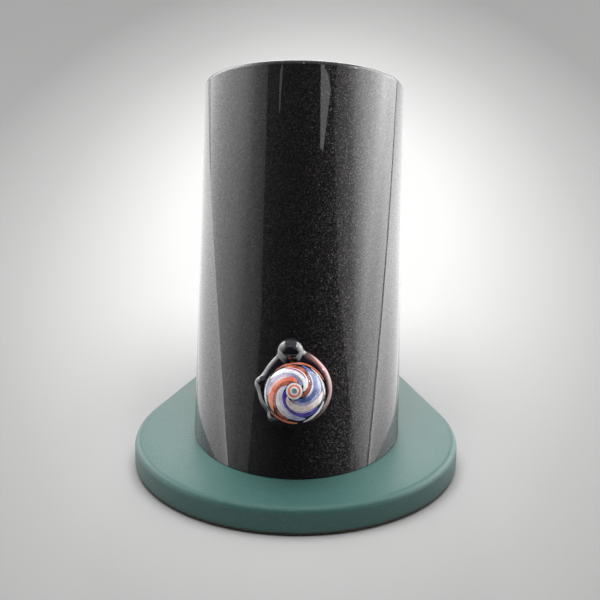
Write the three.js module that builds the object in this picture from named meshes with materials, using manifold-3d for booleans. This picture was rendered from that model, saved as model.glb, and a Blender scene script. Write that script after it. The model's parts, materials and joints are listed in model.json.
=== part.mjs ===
// Tabletop aroma heater: a leaning round housing on a teardrop base, with a glass
// control knob low on its front and a heater port in its upper end.
//
// Row frame: millimetres, +Z up. The origin is on the underside of the base pad, straight
// below the point where the tube's axis meets the base's top face. The knob faces -Y and
// the housing leans back towards +Y.

import * as THREE from 'three';
import { mergeVertices } from 'three/addons/utils/BufferGeometryUtils.js';
import Module from 'manifold-3d';

const wasm = await Module();
wasm.setup();

// ---------------------------------------------------------------- driving dimensions

const DEGREE = Math.PI / 180;
const GAP = 0.3; // between neighbours that rest on or in each other

// Base
const PAD_THICKNESS = 1.6;
const PAD_INSET = 1.2;
const PLATE_THICKNESS = 12.7;
const PLATE_TOP = PAD_THICKNESS + PLATE_THICKNESS;
const PLATE_ROUND = 3.5;
const PLATE_FOOT_ROUND = 0.8;
const BASE_RADIUS = 79.5;
const BASE_CENTRE_Y = -9;
const TAIL_RADIUS = 26;
const TAIL_HALF_ANGLE = 22.5 * DEGREE;
const TAIL_CENTRE_Y = BASE_CENTRE_Y + (BASE_RADIUS - TAIL_RADIUS) / Math.sin(TAIL_HALF_ANGLE);

// Housing tube
const LEAN = 30 * DEGREE;
const TUBE_RADIUS = 50.8;
const TUBE_WALL = 3.2;
const BORE_RADIUS = TUBE_RADIUS - TUBE_WALL;
const RIM = 175.6; // along the axis, from the base's top face to the square upper end
const RIM_ROUND = 2.6;
const TUBE_SIDES = 60;

// Flange inside the tube's foot, and the screws that come up through the base
const FLANGE_THICKNESS = 8;
const FLANGE_TOP = PLATE_TOP + FLANGE_THICKNESS;
const BASE_SCREW_RADIUS = 3;
const BASE_SCREW_HEAD = 6;
const BASE_SCREW_PLACES = [[-28, -22], [28, -22], [0, 40]];

// Top end, measured along the tube's axis
const TOP_RECESS = 4;
const TOP_PLATE_THICKNESS = 4;
const TOP_FACE = RIM - TOP_RECESS;
const TOP_UNDER = TOP_FACE - TOP_PLATE_THICKNESS;
const TOP_RING_HEIGHT = 6;
const TOP_RING_BORE = 39.5;
const TOP_SCREW_CIRCLE = 43.4;
const M3_RADIUS = 1.5;
const M3_HOLE = M3_RADIUS + GAP;
const M3_HEAD = 2.8;
const VENT_COUNT = 8;
const VENT_CIRCLE = 34;
const VENT_RADIUS = 2.2;

// Heater
const COLLAR_BORE = 9.8;
const COLLAR_NECK = 12;
const COLLAR_FLANGE = 17;
const COVER_RADIUS = 9.4;
const COVER_BORE = 7.8;
const COVER_FOOT = 142;
const COVER_STAND = 8; // how far the glass stands above the rim
const COLLAR_LENGTH = 12; // of the neck below the top plate
const SOCKET_RADIUS = 12;
const SOCKET_HEIGHT = 11;
const LEAD_SPREAD = 6.5; // of each heater lead from the rod's axis
const CUTOUT_SPAN = [122, 144]; // of the thermal cut-out, wire end to wire end
const ROD_RADIUS = 4.5;
const ROD_TOP = 167;
const COIL_RADIUS = 5.3;
const COIL_WIRE = 0.4;
const COIL_TURNS = 6;
const SHIELD_RADIUS = 24;
const SHIELD_FLOOR = 112.5;
const SHEET = 1.2;

// Knob and potentiometer, along the knob's own axis, out from the tube's wall
const KNOB_PLACE = 12; // of the knob's axis, along the tube's axis
const SHAFT_RADIUS = 3;
const SHAFT_TIP = 14.6;
const INSERT_RADIUS = 5;
const INSERT_SPAN = [5.3, 15.6];
const BUSH_RADIUS = 3.6;
const POT_RADIUS = 8;
const POT_FACE = -4.4;
const POT_DEPTH = 12;
const KNOB_DISC_RADIUS = 17.5;
const KNOB_DISC_CENTRE = [0.6, 1.4];
const KNOB_DISC_BACK = 1.6;
const KNOB_DISC_FRONT = 9.6;
const MARBLE_RADIUS = 14.3;
const MARBLE_CENTRE = [0.6, -2.4, 18.6];
// Rounded lumps on the disc's edge: x, y, z of the centre, then the radius
const KNOB_LUMPS = [
  [-2.2, 18.6, 6.8, 6.4],
  [-15.4, 3.2, 6.2, 3.8],
  [-13.9, -4.4, 5.8, 3.4],
  [-8.8, -11.4, 5.4, 3.2],
];

// Control board, standing behind the knob
const CHASSIS_FACE = -7.2;
const CHASSIS_SHEET = 1.5;
const CHASSIS_HALF_WIDTH = 27;
const CHASSIS_TOP = 110;
const CHASSIS_FOOT = 26;
const STANDOFF = 6;
const BOARD_FACE = CHASSIS_FACE + STANDOFF + 2 * GAP;
const BOARD_THICKNESS = 1.6;
const BOARD_REAR = BOARD_FACE + BOARD_THICKNESS;
const BOARD_SPAN = [32, 108];
const BOARD_HALF_WIDTH = 25;
const BOARD_HOLES = [[-21, 36], [21, 36], [-21, 104.5], [21, 104.5]];
// Parts on the board, as spans across it, out from it and up it
const SINK = {
  across: [-23, -5],
  out: [6, 8.01],
  up: [46, 78],
  fins: 4,
  pitch: 5.6,
  finSheet: 1.2,
  finTip: 20,
};
const TRIAC = { across: [-19, -9], up: [50, 65], tab: [64, 71], legs: [-16.5, -14, -11.5] };
const FILM = { across: [4, 22], top: 12, up: [60, 74] };
const CHOKE = { place: [12, 46], ring: 7.5, wire: 3 };
const FUSE = { up: [80.5, 87.5], half: 10, cap: 2.6, glass: 2.3, axis: 5.6 };
const TERMINALS = { wells: [-12.6, -4.2, 4.2, 12.6], half: 17, top: 10.8, up: [91, 101] };

// Mains inlet on the rear wall
const INLET_PLACE = 88;
const INLET_SEAT = 1.5; // flat face of the saddle, out from the tube's wall
const INLET_FLANGE = [11.5, 25, 2.4]; // half width, half length, thickness
const INLET_BODY = [9.9, 13.4]; // half width, half length
const INLET_SOCKET = [7.9, 11.4];
const INLET_DEPTH = 17;
const INLET_SCREW_PLACE = 20;
const PIN_PLACES = [[0, -7], [3.6, 0], [0, 7]];

// ---------------------------------------------------------------- materials

function finish(color, roughness, metalness) {
  return new THREE.MeshStandardMaterial({ color, roughness, metalness });
}

const FINISH = {
  flakeBlack: () => finish(0x0e0f11, 0.12, 0.6),
  tealCoat: () => finish(0x587671, 0.6, 0.1),
  foam: () => finish(0x4a4038, 0.95, 0),
  aluminium: () => finish(0xc4c7ca, 0.35, 1),
  zincSteel: () => finish(0xb4b6b3, 0.3, 1),
  blackSteel: () => finish(0x1b1c1e, 0.4, 0.8),
  blackPlastic: () => finish(0x17181a, 0.5, 0),
  clearGlass: () => finish(0xdfe6ee, 0.03, 0),
  blackGlass: () => finish(0x08080a, 0.05, 0),
  brass: () => finish(0xc8a24e, 0.3, 1),
  ceramic: () => finish(0xe9e4d8, 0.7, 0),
  resistanceWire: () => finish(0x6f6a66, 0.45, 1),
  board: () => finish(0x2f6b45, 0.5, 0),
  blueFilm: () => finish(0x2c5fa0, 0.4, 0),
  copper: () => finish(0xb06a3c, 0.35, 1),
  fuseGlass: () => finish(0xd7dcda, 0.1, 0.2),
  brownCable: () => finish(0x5b3a24, 0.5, 0),
  blueCable: () => finish(0x2a4fa3, 0.5, 0),
  greenCable: () => finish(0x4f8f3a, 0.5, 0),
  whiteCable: () => finish(0xd8d6d0, 0.6, 0),
};

// ---------------------------------------------------------------- solids

/** A closed solid from a three.js geometry, with its faces turned outwards. */
function solid(geometry) {
  const bare = geometry.index ? geometry.toNonIndexed() : geometry.clone();
  bare.deleteAttribute('normal');
  bare.deleteAttribute('uv');
  const merged = mergeVertices(bare, 1e-4);
  const points = merged.attributes.position.array;
  const corners = [];
  for (let i = 0; i < merged.index.count; i += 3) {
    const face = [0, 1, 2].map((k) => merged.index.getX(i + k));
    if (new Set(face).size === 3) corners.push(...face);
  }
  if (signedVolume(points, corners) < 0) corners.reverse();
  const mesh = new wasm.Mesh({
    numProp: 3,
    vertProperties: Float32Array.from(points),
    triVerts: Uint32Array.from(corners),
  });
  return new wasm.Manifold(mesh);
}

function signedVolume(points, corners) {
  const at = (i) => new THREE.Vector3().fromArray(points, corners[i] * 3);
  let total = 0;
  for (let i = 0; i < corners.length; i += 3) {
    total += at(i).dot(at(i + 1).cross(at(i + 2))) / 6;
  }
  return total;
}

function geometryOf(body) {
  const mesh = body.getMesh();
  const geometry = new THREE.BufferGeometry();
  geometry.setAttribute('position', new THREE.BufferAttribute(mesh.vertProperties, 3));
  geometry.setIndex(new THREE.BufferAttribute(mesh.triVerts, 1));
  geometry.computeVertexNormals();
  return geometry;
}

function union(bodies) {
  return bodies.reduce((whole, body) => whole.add(body));
}

function cut(body, tools) {
  return tools.reduce((left, tool) => left.subtract(tool), body);
}

/** Round bar along Z. */
function bar(radius, low, high, [x, y] = [0, 0], sides = 16) {
  const geometry = new THREE.CylinderGeometry(radius, radius, high - low, sides);
  geometry.rotateX(90 * DEGREE);
  geometry.translate(x, y, (low + high) / 2);
  return solid(geometry);
}

/** Round bar along Y. */
function crossBar(radius, low, high, [x, z], sides = 16) {
  const geometry = new THREE.CylinderGeometry(radius, radius, high - low, sides);
  geometry.translate(x, (low + high) / 2, z);
  return solid(geometry);
}

function block([x0, x1], [y0, y1], [z0, z1]) {
  const geometry = new THREE.BoxGeometry(x1 - x0, y1 - y0, z1 - z0);
  geometry.translate((x0 + x1) / 2, (y0 + y1) / 2, (z0 + z1) / 2);
  return solid(geometry);
}

/** Turned piece about Z. The profile is a list of [radius, z]. */
function turned(profile, sides = 24) {
  const points = profile.map(([radius, z]) => new THREE.Vector2(radius, z));
  const geometry = new THREE.LatheGeometry(points, sides);
  geometry.rotateX(90 * DEGREE);
  return solid(geometry);
}

function tube(outer, inner, low, high, sides = 24) {
  return turned([[inner, low], [outer, low], [outer, high], [inner, high], [inner, low]], sides);
}

function ball(radius, [x, y, z], sides = 20) {
  const geometry = new THREE.SphereGeometry(radius, sides, sides / 2);
  geometry.translate(x, y, z);
  return solid(geometry);
}

/** Prism with an outline of [y, z] points, along X. */
function prismAlongX(outline, halfWidth) {
  const shape = new THREE.Shape(outline.map(([y, z]) => new THREE.Vector2(y, z)));
  const geometry = new THREE.ExtrudeGeometry(shape, { depth: 2 * halfWidth, bevelEnabled: false });
  geometry.translate(0, 0, -halfWidth);
  geometry.applyMatrix4(new THREE.Matrix4().set(0, 0, 1, 0, 1, 0, 0, 0, 0, 1, 0, 0, 0, 0, 0, 1));
  return solid(geometry);
}

/** Prism with an outline of [x, y] points, along Z. */
function prism(outline, low, high) {
  const shape = new THREE.Shape(outline.map(([x, y]) => new THREE.Vector2(x, y)));
  const geometry = new THREE.ExtrudeGeometry(shape, { depth: high - low, bevelEnabled: false });
  geometry.translate(0, 0, low);
  return solid(geometry);
}

/** Closed body through rings of equal point count, with a fan over each end. */
function loft(rings) {
  const count = rings[0].length;
  const points = rings.flat();
  const corners = [];
  for (let level = 0; level + 1 < rings.length; level += 1) {
    for (let i = 0; i < count; i += 1) {
      const a = level * count + i;
      const b = level * count + ((i + 1) % count);
      corners.push(a, b, b + count, a, b + count, a + count);
    }
  }
  const last = (rings.length - 1) * count;
  for (let i = 1; i + 1 < count; i += 1) {
    corners.push(0, i + 1, i, last, last + i, last + i + 1);
  }
  const geometry = new THREE.BufferGeometry();
  const flat = new Float32Array(points.flatMap((point) => point.toArray()));
  geometry.setAttribute('position', new THREE.BufferAttribute(flat, 3));
  geometry.setIndex(corners);
  return solid(geometry);
}

/** Round wire along a curve. */
function wire(curve, radius, steps, sides = 6) {
  const section = new THREE.Shape();
  section.absarc(0, 0, radius, 0, 2 * Math.PI);
  const geometry = new THREE.ExtrudeGeometry(section, {
    steps,
    curveSegments: sides,
    bevelEnabled: false,
    extrudePath: curve,
  });
  return solid(geometry);
}

class Helix extends THREE.Curve {
  constructor(radius, turns, low, high) {
    super();
    Object.assign(this, { radius, turns, low, high });
  }

  getPoint(t, target = new THREE.Vector3()) {
    const angle = 2 * Math.PI * this.turns * t;
    const height = this.low + (this.high - this.low) * t;
    return target.set(this.radius * Math.cos(angle), this.radius * Math.sin(angle), height);
  }
}

/** Points round a circle, as [x, y]. */
function roundPlaces(count, radius, start = 0) {
  return Array.from({ length: count }, (_, i) => {
    const angle = start + (2 * Math.PI * i) / count;
    return [radius * Math.cos(angle), radius * Math.sin(angle)];
  });
}

// ---------------------------------------------------------------- frames

// Row frame: the base. Housing frame: +Z along the tube, -Y to the front wall.
const object = new THREE.Group();
const housing = new THREE.Group();
housing.position.z = PLATE_TOP;
housing.rotation.x = -LEAN;
// Knob frame: +Z straight out of the front wall, +Y up along the tube.
const knob = new THREE.Group();
knob.position.set(0, -TUBE_RADIUS, KNOB_PLACE);
knob.rotation.x = 90 * DEGREE;
// Inlet frame: +Z straight out of the rear wall, -Y up along the tube.
const inlet = new THREE.Group();
inlet.position.set(0, TUBE_RADIUS, INLET_PLACE);
inlet.rotation.x = -90 * DEGREE;
housing.add(knob, inlet);
object.add(housing);

function place(group, name, body, material) {
  const mesh = new THREE.Mesh(geometryOf(body), material);
  mesh.name = name;
  group.add(mesh);
}

/** A point above the base's top face, in the housing frame, from row-frame y and height. */
function inHousing(x, y, height) {
  const along = y * Math.sin(LEAN) + height * Math.cos(LEAN);
  const across = y * Math.cos(LEAN) - height * Math.sin(LEAN);
  return new THREE.Vector3(x, across, along);
}

// ---------------------------------------------------------------- base

function teardrop(inset, z) {
  const arc = (radius, centreY, from, sweep, count) =>
    Array.from({ length: count + 1 }, (_, i) => {
      const angle = from + (sweep * i) / count;
      return new THREE.Vector3(radius * Math.cos(angle), centreY + radius * Math.sin(angle), z);
    });
  const front = Math.PI + 2 * TAIL_HALF_ANGLE;
  const tail = Math.PI - 2 * TAIL_HALF_ANGLE;
  return [
    ...arc(BASE_RADIUS - inset, BASE_CENTRE_Y, Math.PI - TAIL_HALF_ANGLE, front, 40),
    ...arc(TAIL_RADIUS - inset, TAIL_CENTRE_Y, TAIL_HALF_ANGLE, tail, 10),
  ];
}

/** Rings of the plate's round-over, from the wall's top to the flat top face. */
function roundOver(top, radius, count) {
  return Array.from({ length: count + 1 }, (_, i) => {
    const angle = (90 * DEGREE * i) / count;
    return teardrop(radius * (1 - Math.cos(angle)), top - radius * (1 - Math.sin(angle)));
  });
}

function countersunkScrew(head, shank, low, high) {
  return turned([[0, low], [head, low], [shank, low + head - shank], [shank, high], [0, high]], 16);
}

function makeBase() {
  const under = PAD_THICKNESS;
  const plate = loft([
    teardrop(PLATE_FOOT_ROUND, under),
    teardrop(0, under + PLATE_FOOT_ROUND),
    ...roundOver(PLATE_TOP, PLATE_ROUND, 4),
  ]);
  const seats = BASE_SCREW_PLACES.map(([x, y]) => {
    const head = BASE_SCREW_HEAD + 3 * GAP;
    const shank = BASE_SCREW_RADIUS + GAP;
    return countersunkScrew(head, shank, under - GAP, PLATE_TOP + 1).translate(x, y, 0);
  });
  place(object, 'base_plate', cut(plate, seats), FINISH.tealCoat());
  const pad = loft([teardrop(PAD_INSET, 0), teardrop(PAD_INSET, under)]);
  place(object, 'base_pad', pad, FINISH.foam());
  BASE_SCREW_PLACES.forEach(([x, y], i) => {
    const low = under + GAP;
    const screw = countersunkScrew(BASE_SCREW_HEAD, BASE_SCREW_RADIUS, low, FLANGE_TOP - 1);
    const socket = prism(roundPlaces(6, 2.3), low - 1, low + 2.4);
    place(object, `base_screw_${i + 1}`, screw.subtract(socket).translate(x, y, 0), FINISH.zincSteel());
  });
}

/** Everything between two heights above the row's floor, in the housing frame. */
function slab(low, high) {
  const reach = 200;
  return block([-reach, reach], [-reach, reach], [low - PLATE_TOP, high - PLATE_TOP])
    .rotate([LEAN / DEGREE, 0, 0]);
}

function makeFlange() {
  const core = bar(BORE_RADIUS - GAP, -80, 80, [0, 0], TUBE_SIDES);
  const plate = core.intersect(slab(PLATE_TOP + GAP, FLANGE_TOP));
  const holes = BASE_SCREW_PLACES.map(([x, y]) =>
    bar(BASE_SCREW_RADIUS + GAP, -20, 20).rotate([LEAN / DEGREE, 0, 0])
      .translate(...inHousing(x, y, 0).toArray()));
  place(housing, 'mount_flange', cut(plate, holes), FINISH.aluminium());
}

// ---------------------------------------------------------------- tube and top end

function makeTube() {
  const round = Array.from({ length: 4 }, (_, i) => {
    const angle = (90 * DEGREE * i) / 3;
    return [TUBE_RADIUS - RIM_ROUND * (1 - Math.cos(angle)), RIM - RIM_ROUND * (1 - Math.sin(angle))];
  });
  const foot = -40;
  const wall = turned([
    [BORE_RADIUS, foot],
    [TUBE_RADIUS, foot],
    ...round,
    [BORE_RADIUS + 0.5, RIM],
    [BORE_RADIUS, RIM - 0.5],
    [BORE_RADIUS, foot],
  ], TUBE_SIDES);
  const knobHole = crossBar(BUSH_RADIUS + GAP, -TUBE_RADIUS - 5, 0, [0, KNOB_PLACE], 16);
  const [halfWidth, halfLength] = INLET_BODY;
  const inletHole = block(
    [-halfWidth - GAP, halfWidth + GAP],
    [0, TUBE_RADIUS + 5],
    [INLET_PLACE - halfLength - GAP, INLET_PLACE + halfLength + GAP],
  );
  const screwHoles = [-1, 1].map((side) =>
    crossBar(M3_HOLE, 0, TUBE_RADIUS + 5, [0, INLET_PLACE + side * INLET_SCREW_PLACE], 12));
  const tools = [slab(-200, PLATE_TOP + GAP), knobHole, inletHole, ...screwHoles];
  place(housing, 'body_tube', cut(wall, tools), FINISH.flakeBlack());
}

function buttonScrew(low, seat) {
  const head = [[M3_HEAD, seat], [M3_HEAD, seat + 0.8], [M3_HEAD - 0.9, seat + 1.7], [0, seat + 1.7]];
  const screw = turned([[0, low], [M3_RADIUS, low], [M3_RADIUS, seat], ...head], 14);
  return screw.subtract(prism(roundPlaces(6, 1.1), seat + 0.6, seat + 3));
}

function makeTopEnd() {
  const screwPlaces = roundPlaces(3, TOP_SCREW_CIRCLE, 90 * DEGREE);
  const screwHoles = screwPlaces.map((spot) => bar(M3_HOLE, 100, RIM, spot, 8));
  const vents = roundPlaces(VENT_COUNT, VENT_CIRCLE).map((spot) => bar(VENT_RADIUS, 100, RIM, spot, 8));
  const plate = turned([
    [COLLAR_NECK + GAP, TOP_UNDER],
    [BORE_RADIUS - GAP, TOP_UNDER],
    [BORE_RADIUS - GAP, TOP_FACE - 0.6],
    [BORE_RADIUS - GAP - 0.6, TOP_FACE],
    [COLLAR_NECK + GAP, TOP_FACE],
    [COLLAR_NECK + GAP, TOP_UNDER],
  ], TUBE_SIDES);
  place(housing, 'top_plate', cut(plate, [...screwHoles, ...vents]), FINISH.blackSteel());

  const ringTop = TOP_UNDER - GAP;
  const ring = tube(BORE_RADIUS - GAP, TOP_RING_BORE, ringTop - TOP_RING_HEIGHT, ringTop, 40);
  place(housing, 'top_ring', cut(ring, screwHoles), FINISH.aluminium());
  screwPlaces.forEach(([x, y], i) => {
    const screw = buttonScrew(ringTop - TOP_RING_HEIGHT, TOP_FACE + GAP).translate(x, y, 0);
    place(housing, `top_screw_${i + 1}`, screw, FINISH.zincSteel());
  });
}

function makeHeater() {
  const seat = TOP_FACE + GAP;
  const collar = turned([
    [COLLAR_BORE, TOP_UNDER - COLLAR_LENGTH],
    [COLLAR_NECK, TOP_UNDER - COLLAR_LENGTH],
    [COLLAR_NECK, seat],
    [COLLAR_FLANGE, seat],
    [COLLAR_FLANGE, seat + 1.4],
    [COLLAR_FLANGE - 1, seat + 2.4],
    [COLLAR_BORE, seat + 2.4],
    [COLLAR_BORE, TOP_UNDER - COLLAR_LENGTH],
  ], 32);
  place(housing, 'port_collar', collar, FINISH.zincSteel());

  const bead = seat + 2.4 + GAP;
  const mouth = RIM + COVER_STAND;
  const cover = turned([
    [COVER_BORE, COVER_FOOT],
    [COVER_RADIUS, COVER_FOOT],
    [COVER_RADIUS, bead],
    [COVER_RADIUS + 3, bead],
    [COVER_RADIUS + 3.8, bead + 1.2],
    [COVER_RADIUS + 3, bead + 2.4],
    [COVER_RADIUS, bead + 3.4],
    [COVER_RADIUS, mouth],
    [COVER_BORE, mouth],
    [COVER_BORE, COVER_FOOT],
  ], 32);
  place(housing, 'heater_cover', cover, FINISH.clearGlass());

  const socketFoot = SHIELD_FLOOR + SHEET + GAP;
  const socketTop = socketFoot + SOCKET_HEIGHT;
  const leadHoles = [-1, 1].map((side) => bar(1.3, 100, 200, [side * LEAD_SPREAD, 0], 8));
  const socket = turned([
    [0, socketFoot],
    [SOCKET_RADIUS, socketFoot],
    [SOCKET_RADIUS, socketTop - 4],
    [SOCKET_RADIUS - 3, socketTop],
    [0, socketTop],
  ], 24);
  place(housing, 'heater_socket', cut(socket, leadHoles), FINISH.ceramic());
  const rod = turned([
    [0, socketTop + GAP],
    [ROD_RADIUS, socketTop + GAP],
    [ROD_RADIUS, ROD_TOP - 1],
    [ROD_RADIUS - 1, ROD_TOP],
    [0, ROD_TOP],
  ], 24);
  place(housing, 'heater_rod', rod, FINISH.ceramic());
  const helix = new Helix(COIL_RADIUS, COIL_TURNS, socketTop + 6, ROD_TOP - 3);
  place(housing, 'heater_coil', wire(helix, COIL_WIRE, COIL_TURNS * 9, 2), FINISH.resistanceWire());

  const shieldTop = TOP_UNDER - GAP;
  const shield = turned([
    [0, SHIELD_FLOOR],
    [SHIELD_RADIUS, SHIELD_FLOOR],
    [SHIELD_RADIUS, shieldTop - SHEET],
    [SHIELD_RADIUS + 6, shieldTop - SHEET],
    [SHIELD_RADIUS + 6, shieldTop],
    [SHIELD_RADIUS - SHEET, shieldTop],
    [SHIELD_RADIUS - SHEET, SHIELD_FLOOR + SHEET],
    [0, SHIELD_FLOOR + SHEET],
  ], 32);
  const airHoles = roundPlaces(6, 17).map((spot) => bar(2, 100, 120, spot, 8));
  const leadWays = [-1, 1].map((side) => bar(2, 100, 120, [side * LEAD_SPREAD, 0], 8));
  place(housing, 'heat_shield', cut(shield, [...airHoles, ...leadWays]), FINISH.zincSteel());

  const fuseAxis = SHIELD_RADIUS + 2 + GAP;
  const [cutoutLow, cutoutHigh] = CUTOUT_SPAN;
  const cutout = turned([
    [0, cutoutLow],
    [0.5, cutoutLow],
    [0.5, cutoutLow + 5],
    [2, cutoutLow + 6],
    [2, cutoutHigh - 6],
    [0.5, cutoutHigh - 5],
    [0.5, cutoutHigh],
    [0, cutoutHigh],
  ], 12).translate(fuseAxis, 0, 0);
  place(housing, 'thermal_fuse', cutout, FINISH.zincSteel());
}

// ---------------------------------------------------------------- control board

function makeChassis() {
  const rear = CHASSIS_FACE;
  const front = rear - CHASSIS_SHEET;
  const level = FLANGE_TOP - PLATE_TOP + GAP;
  const slope = Math.tan(LEAN);
  // Heights of the flange's top face, and of the bent foot's upper face, under a given y.
  const under = (y) => level / Math.cos(LEAN) + y * slope;
  const over = (y) => (level + CHASSIS_SHEET) / Math.cos(LEAN) + y * slope;
  const heel = rear + CHASSIS_FOOT;
  const profile = [
    [front, under(front)],
    [heel, under(heel)],
    [heel, over(heel)],
    [rear, over(rear)],
    [rear, CHASSIS_TOP],
    [front, CHASSIS_TOP],
  ];
  const sheet = prismAlongX(profile, CHASSIS_HALF_WIDTH);
  const holes = BOARD_HOLES.map((spot) => crossBar(1.8, front - 1, rear + 1, spot, 12));
  place(housing, 'chassis_plate', cut(sheet, holes), FINISH.zincSteel());

  const face = [rear + GAP, rear + GAP + STANDOFF];
  BOARD_HOLES.forEach(([x, z], i) => {
    const post = prism(roundPlaces(6, 3), ...face).rotate([-90, 0, 0]).translate(x, 0, z);
    const bore = crossBar(1.6, face[0] - 1, face[1] + 1, [x, z], 12);
    place(housing, `board_standoff_${i + 1}`, post.subtract(bore), FINISH.brass());
    const screw = union([
      crossBar(1.2, face[0] + 1, BOARD_REAR + 2 * GAP, [x, z], 12),
      crossBar(2.4, BOARD_REAR + GAP, BOARD_REAR + GAP + 1.6, [x, z], 16),
    ]);
    place(housing, `board_screw_${i + 1}`, screw, FINISH.zincSteel());
  });
}

function makeBoard() {
  const width = [-BOARD_HALF_WIDTH, BOARD_HALF_WIDTH];
  const board = block(width, [BOARD_FACE, BOARD_REAR], BOARD_SPAN);
  const holes = BOARD_HOLES.map((spot) => crossBar(1.6, BOARD_FACE - 1, BOARD_REAR + 1, spot, 12));
  place(housing, 'dimmer_board', cut(board, holes), FINISH.board());
  const seat = BOARD_REAR + GAP;

  const fins = Array.from({ length: SINK.fins }, (_, i) => {
    const left = SINK.across[0] + i * SINK.pitch;
    return block([left, left + SINK.finSheet], [SINK.out[1] - 0.01, SINK.finTip], SINK.up);
  });
  const sink = union([block(SINK.across, SINK.out, SINK.up), ...fins]);
  place(housing, 'heat_sink', sink, FINISH.aluminium());

  const triacBack = SINK.out[0] - GAP;
  const legs = TRIAC.legs.map((x) => block([x - 0.4, x + 0.4], [2.6, 3.2], [40, TRIAC.up[0] + 1]));
  const tab = block(TRIAC.across, [triacBack - 1.3, triacBack], TRIAC.tab);
  const triac = union([block(TRIAC.across, [seat, triacBack], TRIAC.up), tab, ...legs]);
  place(housing, 'triac', triac, FINISH.blackPlastic());

  const [filmLeft, filmRight] = FILM.across;
  const film = prism([
    [filmLeft, seat],
    [filmRight, seat],
    [filmRight, FILM.top - 1],
    [filmRight - 1, FILM.top],
    [filmLeft + 1, FILM.top],
    [filmLeft, FILM.top - 1],
  ], ...FILM.up);
  place(housing, 'filter_capacitor', film, FINISH.blueFilm());
  const ring = new THREE.TorusGeometry(CHOKE.ring, CHOKE.wire, 8, 18);
  ring.rotateX(90 * DEGREE);
  ring.translate(CHOKE.place[0], seat + CHOKE.wire, CHOKE.place[1]);
  place(housing, 'filter_choke', solid(ring), FINISH.copper());

  const ends = [[-13, -11.4], [11.4, 13]].map((x) => block(x, [seat, 9], FUSE.up));
  const holder = union([block([-13, 13], [seat, 2.4], FUSE.up), ...ends]);
  place(housing, 'fuse_holder', holder, FINISH.blackPlastic());
  const fuse = turned([
    [0, -FUSE.half],
    [FUSE.cap, -FUSE.half],
    [FUSE.cap, -FUSE.half / 2],
    [FUSE.glass, -FUSE.half / 2],
    [FUSE.glass, FUSE.half / 2],
    [FUSE.cap, FUSE.half / 2],
    [FUSE.cap, FUSE.half],
    [0, FUSE.half],
  ], 16).rotate([0, 90, 0]).translate(0, FUSE.axis, (FUSE.up[0] + FUSE.up[1]) / 2);
  place(housing, 'board_fuse', fuse, FINISH.fuseGlass());

  const wellPlace = (TERMINALS.up[0] + TERMINALS.up[1]) / 2;
  const wells = TERMINALS.wells.map((x) => crossBar(2, 7, 20, [x, wellPlace], 12));
  const body = block([-TERMINALS.half, TERMINALS.half], [seat, TERMINALS.top], TERMINALS.up);
  place(housing, 'terminal_block', cut(body, wells), FINISH.blackPlastic());
}

// ---------------------------------------------------------------- knob

function makePotentiometer() {
  const bushTop = 5;
  const rear = POT_FACE - POT_DEPTH;
  const can = turned([
    [0, rear],
    [POT_RADIUS - 1, rear],
    [POT_RADIUS, rear + 1],
    [POT_RADIUS, POT_FACE],
    [BUSH_RADIUS, POT_FACE],
    [BUSH_RADIUS, bushTop],
    [0, bushTop],
  ], 24);
  const lugs = [-5, 0, 5].map((x) => block([x - 1, x + 1], [-POT_RADIUS - 6, -5], [-8, -7.2]));
  const shaftWay = bar(SHAFT_RADIUS + GAP, POT_FACE - 5 - GAP, bushTop + 1);
  place(knob, 'potentiometer', union([can, ...lugs]).subtract(shaftWay), FINISH.zincSteel());
  place(knob, 'pot_washer', tube(6.4, BUSH_RADIUS + GAP, GAP, 1.0, 20), FINISH.zincSteel());
  const nut = prism(roundPlaces(6, 5.8), 1.3, 3.5).subtract(bar(BUSH_RADIUS + GAP, 0, 5));
  place(knob, 'pot_nut', nut, FINISH.zincSteel());
  const flat = block([-5, 5], [1.6, 5], [7, 30]);
  place(knob, 'pot_shaft', bar(SHAFT_RADIUS, POT_FACE - 5, SHAFT_TIP).subtract(flat), FINISH.aluminium());
}

function makeKnob() {
  const [discX, discY] = KNOB_DISC_CENTRE;
  const middle = (KNOB_DISC_BACK + KNOB_DISC_FRONT) / 2;
  const half = (KNOB_DISC_FRONT - KNOB_DISC_BACK) / 2;
  const edge = Array.from({ length: 7 }, (_, i) => {
    const angle = -90 * DEGREE + (180 * DEGREE * i) / 6;
    return [KNOB_DISC_RADIUS - half + half * Math.cos(angle), middle + half * Math.sin(angle)];
  });
  const disc = turned([[0, KNOB_DISC_BACK], ...edge, [0, KNOB_DISC_FRONT]], 28).translate(discX, discY, 0);
  const lumps = KNOB_LUMPS.map(([x, y, z, radius]) => ball(radius, [x, y, z], 12));
  const nutRoom = bar(7.4, 0, 4.4);
  const insertRoom = bar(INSERT_RADIUS + GAP, 0, INSERT_SPAN[1] + GAP);
  const collar = union([disc, ...lumps]).subtract(nutRoom).subtract(insertRoom);
  place(knob, 'knob_collar', collar, FINISH.blackGlass());

  const marbleBall = ball(MARBLE_RADIUS, MARBLE_CENTRE, 28);
  const behind = block([-40, 40], [-40, 40], [-40, KNOB_DISC_FRONT + GAP]);
  const lumpRoom = KNOB_LUMPS.map(([x, y, z, radius]) => ball(radius + 2 * GAP, [x, y, z], 12));
  const marble = cut(marbleBall, [behind, insertRoom, ...lumpRoom]);
  place(knob, 'knob_marble', marble, FINISH.clearGlass());

  const shaftHole = bar(SHAFT_RADIUS + GAP, 0, SHAFT_TIP + GAP);
  const insert = bar(INSERT_RADIUS, ...INSERT_SPAN).subtract(shaftHole);
  place(knob, 'knob_insert', insert, FINISH.brass());
}

// ---------------------------------------------------------------- mains inlet

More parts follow.
